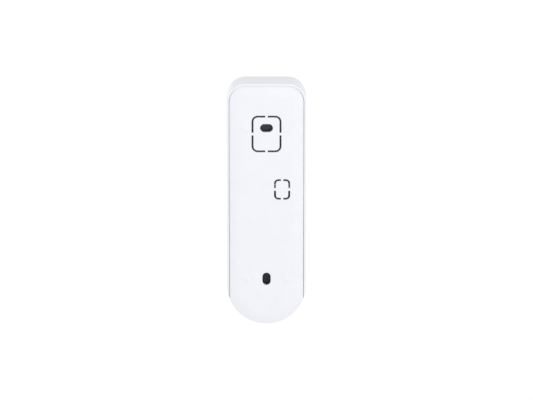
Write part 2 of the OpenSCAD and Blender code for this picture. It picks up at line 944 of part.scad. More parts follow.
module button_cap() {
    rim_d0 = flange_d - 1.3;
    h = button_face_d - rim_d0;
    color("white") union() {
        translate([0, -rim_d0, arc_z]) rotate([90, 0, 0])
            rotate_extrude() polygon(cap_section(h, 1.3 - slip, 2.5, skirt_in_r - 0.2));
        rod(plunger_top_d + slip, rim_d0 + 1, 2.6, [0, arc_z]);
        for (a = [0, 60, 120])
            translate([0, -rim_d0 - 2, arc_z]) rotate([0, a, 0])
                translate([1 - button_r, -1.5, -0.5]) cube([2 * button_r - 2, 2, 1]);
    }
}

module button_seal() {
    color("lightgray") tube(seal_d, seal_d + 0.6, 2.8, skirt_in_r, [0, arc_z]);
}

module button_switch() {
    at = [0, arc_z];
    color([0.15, 0.15, 0.16]) difference() {
        block(button_front_d, switch_top_d, [6.2, 6.2], at);
        rod(switch_top_d - 1.7, switch_top_d + 1, 1.8, at);
    }
}

module switch_plunger() {
    color("ivory") rod(switch_top_d - 0.9, plunger_top_d, 1.72, [0, arc_z]);
}

module button_board() {
    r = half_w - wall - 0.3;
    color([0.05, 0.3, 0.18]) difference() {
        rod(button_board_d, button_front_d, r, [0, arc_z]);
        for (at = ring_screws) rod(button_board_d - 1, button_front_d + 1, pilot_r + 0.2, at);
    }
}

module ring_leds() {
    size = [1.8, 0.9, 1.8];
    color("ivory") for (a = [15 : 30 : 345])
        translate([0, -button_front_d, arc_z]) rotate([0, a, 0])
            translate([ring_out_r - size[0] / 2, -size[1], -size[2] / 2]) cube(size);
}

module button_flex() {
    end_z = button_plug_at[1] - 0.5;
    start_z = arc_z + 9;
    color("darkorange")
        block(button_board_d - flex_t, button_board_d, [button_flex_w - 0.2, end_z - start_z],
              [button_plug_at[0], (end_z + start_z) / 2]);
}

// ---- Nodes -------------------------------------------------------------------------------------------

mounting_plate();
security_screw();
front_housing();
rear_cover();
rear_gasket();
rear_cover_screws();
security_insert();
rating_label();
terminal_block();
terminal_screws();
terminal_washers();
terminal_seal();
tamper_pin();
tamper_switch();
reset_button();
reset_switch();
pin_seals();
main_board();
board_screws();
processor_shield();
radio_shield();
board_chips();
board_connectors();
supercapacitors();
power_inductor();
wifi_antenna();
antenna_cable();
camera_bezel();
lens_ring();
lens_window();
lens_barrel();
lens_elements();
filter_housing();
filter_coil();
filter_slider();
filter_glasses();
sensor_board();
image_sensor();
camera_flex();
ir_led_board();
ir_leds();
ir_led_flex();
pir_lens();
pir_sensor();
speaker_frame();
speaker_cone();
speaker_magnet();
speaker_mesh();
speaker_leads();
microphone();
microphone_boot();
light_ring();
button_cap();
button_seal();
button_switch();
switch_plunger();
button_board();
ring_leds();
button_flex();
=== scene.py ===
"""Video doorbell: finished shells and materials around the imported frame, seen from behind.

Lengths are in millimetres until a mesh is made. A depth is a distance in front of the wall, so depth d
lies at y = -d. An outline is drawn in x and z, and an inset moves it inwards.
"""
import json
import math

import bmesh
import bpy
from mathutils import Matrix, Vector

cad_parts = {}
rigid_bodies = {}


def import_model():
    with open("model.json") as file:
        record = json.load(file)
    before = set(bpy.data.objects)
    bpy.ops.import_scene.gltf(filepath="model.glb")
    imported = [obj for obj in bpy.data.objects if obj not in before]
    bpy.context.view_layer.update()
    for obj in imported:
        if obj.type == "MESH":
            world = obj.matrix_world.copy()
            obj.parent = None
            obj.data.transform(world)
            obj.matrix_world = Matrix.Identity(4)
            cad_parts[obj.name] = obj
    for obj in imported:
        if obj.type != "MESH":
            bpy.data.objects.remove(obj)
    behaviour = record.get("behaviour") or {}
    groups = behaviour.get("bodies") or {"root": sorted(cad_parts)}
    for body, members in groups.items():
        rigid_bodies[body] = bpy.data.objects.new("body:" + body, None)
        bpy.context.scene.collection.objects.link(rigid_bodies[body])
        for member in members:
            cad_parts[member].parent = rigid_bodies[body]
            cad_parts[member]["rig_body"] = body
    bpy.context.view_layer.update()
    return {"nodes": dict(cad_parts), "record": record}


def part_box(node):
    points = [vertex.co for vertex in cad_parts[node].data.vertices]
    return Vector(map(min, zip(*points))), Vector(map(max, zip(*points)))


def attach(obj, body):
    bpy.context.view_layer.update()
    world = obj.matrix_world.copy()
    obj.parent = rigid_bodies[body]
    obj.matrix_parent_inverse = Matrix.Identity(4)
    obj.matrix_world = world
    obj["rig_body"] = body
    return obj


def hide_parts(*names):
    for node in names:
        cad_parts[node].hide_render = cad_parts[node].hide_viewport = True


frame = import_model()

MM = 0.001

# ---- Sizes, read from the frame --------------------------------------------------------


def span(node):
    """A node's box in millimetres: (x0, x1), (depth0, depth1), (z0, z1)."""
    low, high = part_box(node)
    return (low.x / MM, high.x / MM), (-high.y / MM, -low.y / MM), (low.z / MM, high.z / MM)


def centre(node):
    """The middle of a node's box, as (x, z)."""
    xs, _, zs = span(node)
    return sum(xs) / 2, sum(zs) / 2


def radius(node):
    """Half the width of a node's box."""
    xs = span(node)[0]
    return (xs[1] - xs[0]) / 2


def place(mount):
    """Where a mount of the record sits, as (x, z)."""
    found = next(m for m in frame["record"]["mounts"] if m["name"] == mount)
    return found["pos_m"][0] / MM, found["pos_m"][2] / MM


HALF_W = radius("front_housing")
RIM_D, BODY_D = span("front_housing")[1]
TOP_Z = span("front_housing")[2][1]
BOTTOM_Z = span("mounting_plate")[2][0]
ARC_Z = BOTTOM_Z + HALF_W        # centre of the round lower end
BUTTON_AT = (0, ARC_Z)
CORNER_R = 11
FRONT_ROUND = (3.2, 1.8)         # how far the front edge falls in, and how deep it is
FRONT_IN_D = span("speaker_mesh")[1][1]
WALL = BODY_D - FRONT_IN_D

PLATE_HALF_W = radius("mounting_plate")
PLATE_GAP = 0.2
RIM_W = HALF_W - PLATE_HALF_W - PLATE_GAP
TOP_SHIFT = 0.1                  # the plate hangs this much closer to the rim along the top
SEAT_W = 1.2                     # the rim is a little thinner where the rear cover sits
PLATE_T = 2.4
FOOT_D = span("mounting_plate")[1][1]
FOOT_TOP_Z = -66
FOOT_GAP = 0.3                   # air between the plate's foot and the housing
FLOOR_Z = FOOT_TOP_Z + FOOT_GAP  # the housing's lower end, above the foot
FLOOR_T = 3.5
COVER_D = span("rear_cover")[1][0]
COVER_BOTTOM_Z = span("rear_cover")[2][0] - 0.15
LEDGE_D = COVER_D + 2            # the rear cover rests on a ledge in the housing
LEDGE_T = 3
LEDGE_W = RIM_W + 2.6
LOCK_D = sum(span("security_screw")[1]) / 2

FLAT_D = 0.2                     # the plate's face lies this far behind its four raised marks
PILLOW_W = 8                     # width of the soft rounding along the plate's edge
PILLOW_DROP = 0.75
PILLOW_POWER = 2.2               # the rounding is flat at its start and steep at the rim

# ---- Outlines ----------------------------------------------------------------------------


def arc(middle, r, start, end, steps):
    """Points on an arc between two angles in degrees."""
    angles = [math.radians(start + (end - start) * i / steps) for i in range(steps + 1)]
    return [(middle[0] + r * math.cos(a), middle[1] + r * math.sin(a)) for a in angles]


def box_outline(width, height, r, at, steps=8):
    """A rounded rectangle."""
    def outline(inset):
        w, h = width / 2 - r, height / 2 - r
        corners = [(1, 1, 0), (-1, 1, 90), (-1, -1, 180), (1, -1, 270)]
        points = []
        for sx, sz, turn in corners:
            points += arc((at[0] + sx * w, at[1] + sz * h), r - inset, turn, turn + 90, steps)
        return points
    return outline


def grown(size, at, by, steps=8):
    """The outline of a rounded rectangle (width, height, corner), larger by so much all round."""
    w, h, r = size
    return box_outline(w + 2 * by, h + 2 * by, r + by, at, steps)


def disc_outline(r, at, steps=64):
    """A circle."""
    def outline(inset):
        return arc(at, r - inset, 0, 360, steps)[:-1]
    return outline


def body_outline(inset):
    """The body: two round corners above, one half circle below."""
    knee_z = TOP_Z - CORNER_R
    w = HALF_W - CORNER_R
    right = arc((w, knee_z), CORNER_R - inset, 0, 90, 16)
    left = arc((-w, knee_z), CORNER_R - inset, 90, 180, 16)
    return right + left + arc(BUTTON_AT, HALF_W - inset, 180, 360, 48)


def plate_outline(inset, raised=0):
    """The plate: set in from the body's rim, and flush with the body at its round foot."""
    knee_z = TOP_Z - CORNER_R + raised
    w = HALF_W - CORNER_R
    r = PLATE_HALF_W - w - inset
    foot_r = HALF_W - inset
    kink = math.degrees(math.acos((PLATE_HALF_W - inset) / foot_r))
    right = arc((w, knee_z), r, 0, 90, 16)
    left = arc((-w, knee_z), r, 90, 180, 16)
    return right + left + arc(BUTTON_AT, foot_r, 180 + kink, 360 - kink, 40)


def foot_outline(inset):
    """The segment of the body's round end below the top of the foot."""
    r = HALF_W - inset
    half = math.degrees(math.asin((ARC_Z - FOOT_TOP_Z + inset) / r))
    return arc(BUTTON_AT, r, 180 + half, 360 - half, 32)


# ---- Solids --------------------------------------------------------------------------------


def round_corners(points, closed=False, steps=5):
    """A path in which each corner (u, v, radius) has become an arc."""
    path = []
    for i, (u, v, r) in enumerate(points):
        here = Vector((u, v))
        if r == 0 or (not closed and i in (0, len(points) - 1)):
            path.append((u, v))
            continue
        back = (Vector(points[i - 1][:2]) - here).normalized()
        ahead = (Vector(points[(i + 1) % len(points)][:2]) - here).normalized()
        half = back.angle(ahead) / 2
        middle = here + (back + ahead).normalized() * (r / math.sin(half))
        start = (here + back * (r / math.tan(half)) - middle).normalized()
        end = (here + ahead * (r / math.tan(half)) - middle).normalized()
        path += [tuple(middle + start.slerp(end, k / steps) * r) for k in range(steps + 1)]
    return path


def make(fill):
    """A new object whose mesh the function fill builds in a bmesh, its normals outwards."""
    mesh = bpy.data.meshes.new("shape")
    bm = bmesh.new()
    fill(bm)
    bmesh.ops.recalc_face_normals(bm, faces=bm.faces)
    bm.to_mesh(mesh)
    bm.free()
    made = bpy.data.objects.new("shape", mesh)
    bpy.context.scene.collection.objects.link(made)
    return made


def bridge(bm, a, b):
    """Faces between two rings of as many points."""
    for i in range(len(a)):
        j = (i + 1) % len(a)
        bm.faces.new((a[i], a[j], b[j], b[i]))


def loft(outline, profile):
    """A closed solid through rings of an outline: profile lists (inset, depth)."""
    def fill(bm):
        rings = []
        for inset, depth in profile:
            ring = [bm.verts.new((x * MM, -depth * MM, z * MM)) for x, z in outline(inset)]
            rings.append(ring)
        for a, b in zip(rings, rings[1:]):
            bridge(bm, a, b)
        bm.faces.new(rings[0])
        bm.faces.new(rings[-1])
    return make(fill)


def lathe(path, at, steps=96):
    """A solid turned about the line along Y at (x, z). The path is (radius, depth) pairs: it starts and
    ends on the axis, or else it is a closed loop."""
    def fill(bm):
        rings = []
        for r, depth in path:
            count = steps if r > 1e-6 else 1
            angles = [2 * math.pi * i / steps for i in range(count)]
            rings.append([bm.verts.new(((at[0] + r * math.cos(a)) * MM, -depth * MM,
                                        (at[1] + r * math.sin(a)) * MM)) for a in angles])
        on_axis = len(rings[0]) == 1
        pairs = list(zip(rings, rings[1:])) + ([] if on_axis else [(rings[-1], rings[0])])
        for a, b in pairs:
            for i in range(steps):
                j = (i + 1) % steps
                corners = [a[i % len(a)], a[j % len(a)], b[j % len(b)], b[i % len(b)]]
                bm.faces.new(list(dict.fromkeys(corners)))
    return make(fill)


def slab(outline, d0, d1, edge=0.0):
    """A plate of an outline between two depths, both edges rounded."""
    inside = edge + 0.02
    return loft(outline, round_corners([(inside, d0, 0), (0, d0, edge), (0, d1, edge),
                                        (inside, d1, 0)], steps=4))


def block(width, height, at, d0, d1, edge=0.0):
    """A rounded block."""
    return slab(box_outline(width, height, max(edge, 0.02), at, 3), d0, d1, edge)


def rod(r, at, d0, d1, edge=0.0):
    """A round rod along Y."""
    return slab(disc_outline(r, at), d0, d1, edge)


def upright_rod(r, x, depth, z0, z1, steps=48):
    """A round rod along Z."""
    def fill(bm):
        rings = []
        for z in (z0, z1):
            rings.append([bm.verts.new((px * MM, py * MM, z * MM))
                          for px, py in arc((x, -depth), r, 0, 360, steps)[:-1]])
        bridge(bm, *rings)
        bm.faces.new(rings[0])
        bm.faces.new(rings[1])
    return make(fill)


def flare(edge, depth, side):
    """The start of a hole's profile where it opens in a face at that depth, with a rounded edge.
    The open air is towards the wall for side -1, and towards the front for side 1."""
    angles = [math.radians(a) for a in (10, 30, 50, 70, 90)]
    curve = [(edge * (math.sin(a) - 1), depth - side * edge * (1 - math.cos(a))) for a in angles]
    lead = 0.2                   # the curve goes on this far, straight, into the open air
    outer = (curve[0][0] - lead * math.cos(angles[0]),
             curve[0][1] + side * lead * math.sin(angles[0]))
    return [(outer[0], depth + side), outer] + curve


def opening(outline, depth, end, edge=0.25, side=1):
    """The cutter of a hole from a face at one depth to another depth."""
    return loft(outline, flare(edge, depth, side) + [(0, end)])


def combine(target, parts, operation):
    """Applies exact boolean operations to the target and deletes the parts."""
    for part in parts:
        modifier = target.modifiers.new("combine", "BOOLEAN")
        modifier.operation = operation
        modifier.solver = "MANIFOLD"
        modifier.object = part
    bpy.context.view_layer.update()
    graph = bpy.context.evaluated_depsgraph_get()
    mesh = bpy.data.meshes.new_from_object(target.evaluated_get(graph))
    target.modifiers.clear()
    target.data = mesh
    for part in parts:
        bpy.data.objects.remove(part)
    return target


def cut(target, *parts):
    """Takes the parts away from the target."""
    return combine(target, parts, "DIFFERENCE")


def join(target, *parts):
    """Adds the parts to the target."""
    return combine(target, parts, "UNION")


def keep_above(target, z):
    """Removes what is below a height."""
    size = 4 * TOP_Z
    return cut(target, block(size, size, (0, z - size / 2), -size, size))


# ---- Materials -----------------------------------------------------------------------------


class Surface:
    """A material built from noise in the object's own space. Heights and sizes are in millimetres."""

    def __init__(self, name, colour, rough, **fixed):
        self.material = bpy.data.materials.new(name)
        self.material.use_nodes = True
        self.tree = self.material.node_tree
        self.shader = self.tree.nodes["Principled BSDF"]
        self.shader.inputs["Base Color"].default_value = (*colour, 1)
        self.shader.inputs["Roughness"].default_value = rough
        for socket, value in fixed.items():
            self.shader.inputs[socket.replace("_", " ")].default_value = value
        self.colour = colour
        self.rough = rough
        self.coords = self.tree.nodes.new("ShaderNodeTexCoord").outputs["Object"]
        self.height = None

    def node(self, kind, **inputs):
        made = self.tree.nodes.new(kind)
        for socket, value in inputs.items():
            made.inputs[socket.replace("_", " ")].default_value = value
        return made

    def link(self, source, target):
        self.tree.links.new(source, target)

    def stretched(self, scale):
        """The object's own space, stretched along its axes."""
        made = self.node("ShaderNodeMapping", Scale=scale)
        self.link(self.coords, made.inputs["Vector"])
        return made.outputs["Vector"]

    def noise(self, size, detail=3.0, stretch=None, distortion=0.0):
        """Noise whose blotches are about size millimetres across."""
        made = self.node("ShaderNodeTexNoise", Scale=1 / (size * MM), Detail=detail,
                         Distortion=distortion)
        self.link(self.stretched(stretch) if stretch else self.coords, made.inputs["Vector"])
        return made.outputs["Fac"]

    def bands(self, axis, pitch):
        """Waves across an axis."""
        made = self.node("ShaderNodeTexWave", Scale=1 / (pitch * MM * math.pi))
        made.bands_direction = axis
        self.link(self.coords, made.inputs["Vector"])
        return made.outputs["Fac"]

    def between(self, source, low, high, from_low=0.3, from_high=0.7):
        """Maps a value from one range to another."""
        made = self.node("ShaderNodeMapRange", From_Min=from_low, From_Max=from_high,
                         To_Min=low, To_Max=high)
        self.link(source, made.inputs["Value"])
        return made.outputs["Result"]

    def tint(self, source, stops):
        """Colours a value through (position, colour) stops, into the base colour."""
        ramp = self.tree.nodes.new("ShaderNodeValToRGB")
        elements = ramp.color_ramp.elements
        for i, (position, colour) in enumerate(stops):
            element = elements[i] if i < 2 else elements.new(position)
            element.position = position
            element.color = (*colour, 1)
        self.link(source, ramp.inputs["Fac"])
        self.link(ramp.outputs["Color"], self.shader.inputs["Base Color"])
        return self

    def mottle(self, size, amount):
        """Slight lightness changes over the surface."""
        dark = [c * (1 - amount) for c in self.colour]
        light = [min(1, c * (1 + amount)) for c in self.colour]
        return self.tint(self.noise(size), [(0.3, dark), (0.7, light)])

    def polish(self, size, amount, stretch=None):
        """Slight gloss changes over the surface."""
        low, high = self.rough - amount, self.rough + amount
        self.link(self.between(self.noise(size, stretch=stretch), low, high),
                  self.shader.inputs["Roughness"])
        return self

    def emboss(self, source, height):
        """Adds a relief of that height to those already there."""
        bump = self.node("ShaderNodeBump", Distance=height * MM)
        self.link(source, bump.inputs["Height"])
        if self.height:
            self.link(self.height, bump.inputs["Normal"])
        self.height = bump.outputs["Normal"]
        self.link(self.height, self.shader.inputs["Normal"])
        return self

    def grain(self, size, height, stretch=None):
        """A relief made of noise."""
        return self.emboss(self.noise(size, 2.0, stretch), height)


def plastic(name, colour, rough, grain=0.22, height=0.006, **fixed):
    """Moulded plastic with a fine spark-eroded grain and a faint flow pattern."""
    made = Surface(name, colour, rough, **fixed).mottle(9, 0.012).polish(4, 0.05)
    return made.grain(grain, height).grain(6, 0.02).material


def gloss(name, colour, rough, **fixed):
    """Polished plastic with faint wiping marks."""
    made = Surface(name, colour, rough, **fixed).mottle(7, 0.05)
    return made.polish(1.6, 0.04, (1, 1, 0.25)).grain(3, 0.004).material


def metal(name, colour, rough, stretch=(1, 1, 1), **fixed):
    """Plated or brushed metal."""
    made = Surface(name, colour, rough, Metallic=1.0, **fixed).mottle(1.5, 0.06)
    return made.polish(0.5, 0.08, stretch).grain(0.3, 0.004, stretch).material


def rubber(name, colour, rough=0.7, **fixed):
    """Dull rubber with a fine skin."""
    made = Surface(name, colour, rough, **fixed).mottle(2, 0.12).polish(1, 0.08)
    return made.grain(0.12, 0.01).material


def glass(name, colour, rough=0.02, **fixed):
    """Clear glass with the faintest waves."""
    made = Surface(name, colour, rough, Transmission_Weight=1.0, **fixed)
    return made.polish(2.5, 0.012).grain(4, 0.001).material


def board(name, colour):
    """A circuit board: traces under the solder mask, and a satin gloss."""
    made = Surface(name, colour, 0.34, Coat_Weight=0.3, Coat_Roughness=0.15)
    cells = made.node("ShaderNodeTexVoronoi", Scale=1 / (1.3 * MM))
    cells.distance = "CHEBYCHEV"
    cells.feature = "F1"
    made.link(made.coords, cells.inputs["Vector"])
    light = [c * 1.7 + 0.01 for c in colour]
    made.tint(cells.outputs["Distance"], [(0.3, colour), (0.36, light)])
    made.emboss(cells.outputs["Distance"], 0.02)
    return made.polish(2, 0.06).grain(0.3, 0.004).material


def woven(name, colour, pitch):
    """A fine wire cloth. The colour lightens where the wires cross, on the raised knuckles: painted
    sheen.
    """
    made = Surface(name, colour, 0.55)
    both = made.node("ShaderNodeMath")
    both.operation = "MULTIPLY"
    for socket, axis in zip(both.inputs, ("X", "Z")):
        made.link(made.bands(axis, pitch), socket)
    # painted sheen: lighter where the wires cross
    light = [c * 6 + 0.05 for c in colour]
    made.tint(both.outputs["Value"], [(0.1, colour), (0.6, light)])
    return made.emboss(both.outputs["Value"], 0.12).polish(0.5, 0.05).material


def windings(name, colour):
    """Enamelled wire wound around an upright core. The colour darkens in the grooves between the turns:
    painted shade between the wires.
    """
    made = Surface(name, colour, 0.3, Metallic=1.0)
    bands = made.bands("Z", 0.25)
    # painted shade: darker towards the grooves between the turns
    dark = [c * 0.45 for c in colour]
    made.tint(bands, [(0.0, dark), (0.5, colour)])
    return made.emboss(bands, 0.06).polish(0.5, 0.05).material


WHITE = (0.70, 0.71, 0.745)
MATERIALS = {
    "shell_white": plastic("shell_white", WHITE, 0.4),
    "plate_white": plastic("plate_white", WHITE, 0.45),
    "cover_grey": plastic("cover_grey", (0.045, 0.048, 0.055), 0.6, height=0.012),
    "bezel_black": gloss("bezel_black", (0.004, 0.004, 0.005), 0.08, Specular_IOR_Level=0.28),
    "ring_metal": metal("ring_metal", (0.30, 0.31, 0.33), 0.32),
    "window_glass": glass("window_glass", (0.97, 0.98, 1.0), IOR=1.3),
    "optics": glass("optics", (0.55, 0.5, 0.85), 0.04),
    "pir_white": plastic("pir_white", (0.61, 0.62, 0.62), 0.5),
    "button_white": gloss("button_white", (0.71, 0.72, 0.75), 0.28),
    "light_guide": gloss("light_guide", (0.5, 0.57, 0.61), 0.22, Coat_Weight=0.5),
    "steel": metal("steel", (0.62, 0.62, 0.63), 0.28),
    "shield_steel": metal("shield_steel", (0.7, 0.7, 0.69), 0.3, (1, 1, 0.1)),
    "brass": metal("brass", (0.75, 0.55, 0.25), 0.25, (1, 1, 4)),
    "board_green": board("board_green", (0.008, 0.09, 0.04)),
    "chip_black": plastic("chip_black", (0.02, 0.02, 0.022), 0.55),
    "part_ivory": plastic("part_ivory", (0.72, 0.69, 0.58), 0.42),
    "gasket_rubber": rubber("gasket_rubber", (0.02, 0.02, 0.021)),
    "seal_silicone": rubber("seal_silicone", (0.5, 0.51, 0.52), 0.5),
    "capacitor_sleeve": gloss("capacitor_sleeve", (0.01, 0.02, 0.12), 0.3),
    "copper": windings("copper", (0.75, 0.33, 0.14)),
    "antenna_film": metal("antenna_film", (0.7, 0.42, 0.15), 0.35, (1, 1, 0.2)),
    "flex_amber": gloss("flex_amber", (0.42, 0.13, 0.012), 0.3),
    "terminal_green": plastic("terminal_green", (0.02, 0.2, 0.08), 0.4),
    "reset_orange": plastic("reset_orange", (0.75, 0.17, 0.02), 0.4),
    "label_white": plastic("label_white", (0.72, 0.72, 0.7), 0.5, grain=0.4),
    "mesh_black": woven("mesh_black", (0.01, 0.01, 0.011), 0.5),
    "lead_black": rubber("lead_black", (0.015, 0.015, 0.016), 0.45),
}

# ---- Finishing -------------------------------------------------------------------------------

SHARP = math.radians(32)


def even_normals(made):
    """Keeps flat faces flat and rounded edges smooth."""
    modifier = made.modifiers.new("even_normals", "WEIGHTED_NORMAL")
    modifier.keep_sharp = True
    modifier.weight = 90


def smooth(made):
    """Smooth shading, with a crease wherever two faces meet at a sharp angle."""
    bm = bmesh.new()
    bm.from_mesh(made.data)
    bmesh.ops.remove_doubles(bm, verts=bm.verts, dist=1e-7)
    for face in bm.faces:
        face.smooth = True
    for edge in bm.edges:
        edge.smooth = len(edge.link_faces) == 2 and edge.calc_face_angle(0) < SHARP
    bm.to_mesh(made.data)
    bm.free()
    even_normals(made)


def dress(made, name, slot, node, stands_in=True):
    """Names a new piece, gives it its material, and lets it ride with a CAD node and stand in for it."""
    made.name = name
    smooth(made)
    made.data.materials.clear()
    made.data.materials.append(MATERIALS[slot])
    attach(made, frame["nodes"][node]["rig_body"])
    if stands_in:
        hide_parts(node)


def keep(node, edge):
    """A CAD node that stays: welded, its edges softly rounded, with the finished material."""
    made = frame["nodes"][node]
    slot = made.data.materials[0].name.split(".")[0]
    weld = made.modifiers.new("weld", "WELD")
    weld.merge_threshold = 1e-6
    if edge:
        bevel = made.modifiers.new("soft_edges", "BEVEL")
        bevel.width = edge * MM
        bevel.segments = 2
        bevel.limit_method = "ANGLE"
        bevel.angle_limit = math.radians(40)
        bevel.use_clamp_overlap = True
    even_normals(made)
    made.data.materials.clear()
    made.data.materials.append(MATERIALS[slot])


# ---- Mounting plate ----------------------------------------------------------------------------

SLOT_L, SLOT_W = 7.5, 4.8        # the two screw slots
SCREW_PANEL = (17.6, 21.9, 3.6)  # the break-out panel of the upper slot: width, height, corner
SCREW_PANEL_AT = (0, 42.5)
CABLE_PANEL = (9.5, 12.3, 2.5)
HOOK_X = 12                      # the hooks, and the marks opposite them, stand this far out
MARK_R = 2.5
LOCK_R = 1.6                     # hole of the security screw
LOCK_HEAD_R = 2.9                # and of its head
LOCK_HEAD_L = 3.2
INSERT_R = 2.2                   # hole of the brass insert that the screw goes into
INSERT_L = 2.8


def panel_cutter(size, at):
    """The slit around a break-out panel, whose four bridges are thinned from the inner side."""
    slit_w, bridge_w, edge = 1.12, 1.5, 0.12
    width, height, _ = size
    outer = grown(size, at, 0)
    inner = grown(size, at, -slit_w)
    through = loft(outer, flare(edge, FLAT_D, -1) + [(0, PLATE_T + 1)])
    island = [(-inset, depth) for inset, depth in flare(edge, FLAT_D, -1)]
    reach = 3
    cut(through, loft(inner, [(island[0][0], -reach)] + island[1:] + [(0, PLATE_T + reach)]),
        block(bridge_w, height + 2, at, -reach, PLATE_T + reach),
        block(width + 2, bridge_w, at, -reach, PLATE_T + reach))
    groove = loft(outer, [(0, PLATE_T / 2), (0, PLATE_T + 1)])
    cut(groove, loft(inner, [(0, 0), (0, PLATE_T + reach)]))
    return join(through, groove)


def raised_mark(at):
    """A low round mark left by the mould: its top is level with the wall face."""
    path = [(0, PLATE_T / 2), (0, FLAT_D + 0.03), (0.35, FLAT_D * 0.6), (0.8, 0.01), (1.1, 0)]
    return loft(disc_outline(MARK_R, at, 48), path)


def plate_hook(at):
    """A T-shaped hook on the inner side."""
    length, stem_w, head_w, neck_d, head_d = 4.4, 3, 5.6, 4.2, 5.6
    stem = block(stem_w, length, at, PLATE_T - 0.2, head_d - 0.3, 0.1)
    return join(stem, block(head_w, length, at, neck_d, head_d, 0.3))


def mounting_plate():
    """The plate with its softly falling edge, slots, break-out panels, marks, hooks and foot."""
    steps = 14
    pillow = []
    for i in range(steps):
        out = i / steps          # from 0 on the flat face to 1 at the rim
        pillow.append((PILLOW_W * (1 - out), FLAT_D + PILLOW_DROP * out ** PILLOW_POWER))
    edge = round_corners([(0.6, FLAT_D + PILLOW_DROP * 0.84, 0), (0, FLAT_D + PILLOW_DROP, 0.1),
                          (0, PLATE_T, 0.2), (0.5, PLATE_T, 0)])
    plate = loft(lambda inset: plate_outline(inset, TOP_SHIFT), pillow + edge[1:])
    foot = slab(foot_outline, PLATE_T - 0.3, FOOT_D, 0.25)
    upper, lower = place("upper_screw_slot"), place("lower_screw_slot")
    marks = [(sx * HOOK_X, z) for sx in (-1, 1) for z in (upper[1] - 0.3, lower[1] + 0.2)]
    join(plate, foot, *[raised_mark(at) for at in marks])
    hooks = [(sx * HOOK_X, z) for sx in (-1, 1) for z in (upper[1], lower[1])]
    join(plate, *[plate_hook(at) for at in hooks])
    through = PLATE_T + 1
    cut(plate,
        opening(box_outline(SLOT_L, SLOT_W, SLOT_W / 2, upper, 16), FLAT_D, through, 0.3, -1),
        opening(box_outline(SLOT_W, SLOT_L, SLOT_W / 2, lower, 16), FLAT_D, through, 0.3, -1),
        panel_cutter(SCREW_PANEL, SCREW_PANEL_AT),
        panel_cutter(CABLE_PANEL, place("cable_knockout")),
        upright_rod(LOCK_R, 0, LOCK_D, BOTTOM_Z - 1, FOOT_TOP_Z + 5),
        upright_rod(LOCK_HEAD_R, 0, LOCK_D, BOTTOM_Z - 1, BOTTOM_Z + LOCK_HEAD_L))
    dress(plate, "plate_shell", "plate_white", "mounting_plate")


# ---- Front housing ---------------------------------------------------------------------------------

FIT = 0.1                        # a part's clearance in its opening in the front wall
RING_OUT_R = radius("light_ring") - 0.8
RING_IN_R = RING_OUT_R - 2.2
SPEAKER_AT = centre("speaker_mesh")
SPEAKER_R = radius("speaker_mesh")
SPEAKER_ROWS = 5
SPEAKER_PITCH = 2.8
SPEAKER_SLIT = (16, 1.3)         # the middle slit: the others are shorter
PIR_AT = centre("pir_lens")
PIR_SIZE = (20, 11, 4)           # width, height and corner radius
WINDOW_AT = centre("camera_bezel")
WINDOW_SIZE = (33, 40, 8)
WINDOW_T = 1.2
WINDOW_LIP = 1.3                 # the housing reaches this far under the window
MIC_AT = centre("microphone")
MIC_R = 0.7
PILOT_R = 0.85                   # pilot hole of a self-tapping screw


def front_cutters():
    """Everything that is open in the front wall."""
    through = FRONT_IN_D - 1
    cutters = [
        opening(grown(WINDOW_SIZE, WINDOW_AT, FIT, 12), BODY_D, BODY_D - WINDOW_T),
        slab(grown(WINDOW_SIZE, WINDOW_AT, -WINDOW_LIP, 12), through, BODY_D - 0.5),
        opening(disc_outline(RING_OUT_R + FIT, BUTTON_AT, 96), BODY_D, through),
        opening(disc_outline(MIC_R, MIC_AT, 24), BODY_D, through, 0.3),
        opening(grown(PIR_SIZE, PIR_AT, FIT), BODY_D, through),
    ]
    for i in range(SPEAKER_ROWS):
        row = i - (SPEAKER_ROWS - 1) / 2
        at = (SPEAKER_AT[0], SPEAKER_AT[1] + row * SPEAKER_PITCH)
        length, width = SPEAKER_SLIT
        slit = box_outline(length - 2 * abs(row), width, width / 2, at, 6)
        cutters.append(opening(slit, BODY_D, through, 0.3))
    return cutters


def housing_cavity():
    """The inside, the seat of the rear cover, and the room for the plate and its foot."""
    foot_wall = 2
    inside = keep_above(loft(body_outline, [(WALL, LEDGE_D + LEDGE_T), (WALL, FRONT_IN_D)]),
                        FLOOR_Z + FLOOR_T)
    below = loft(body_outline, [(WALL, FOOT_D + FOOT_GAP + foot_wall), (WALL, FRONT_IN_D)])
    ledge = keep_above(loft(body_outline, [(LEDGE_W, LEDGE_D - 1), (LEDGE_W, FRONT_IN_D - 4)]),
                       FLOOR_Z + FLOOR_T + 1.8)
    seat = keep_above(loft(body_outline, [(SEAT_W, COVER_D - 0.4), (SEAT_W, LEDGE_D)]),
                      COVER_BOTTOM_Z)
    lip = [(inset - PLATE_GAP, depth) for inset, depth in flare(0.12, RIM_D, -1)]
    mouth = loft(plate_outline, lip + [(-PLATE_GAP, COVER_D)])
    room = block(4 * HALF_W, 40, (0, FLOOR_Z - 20), -1, FOOT_D + FOOT_GAP, 0.02)
    return [inside, below, ledge, seat, mouth, room]


def round_wall(r, at, d0, d1):
    """A thin round wall of inner radius r."""
    out_r = r + 1.2
    return lathe([(r, d0), (out_r, d0), (out_r, d1), (r, d1)], at)


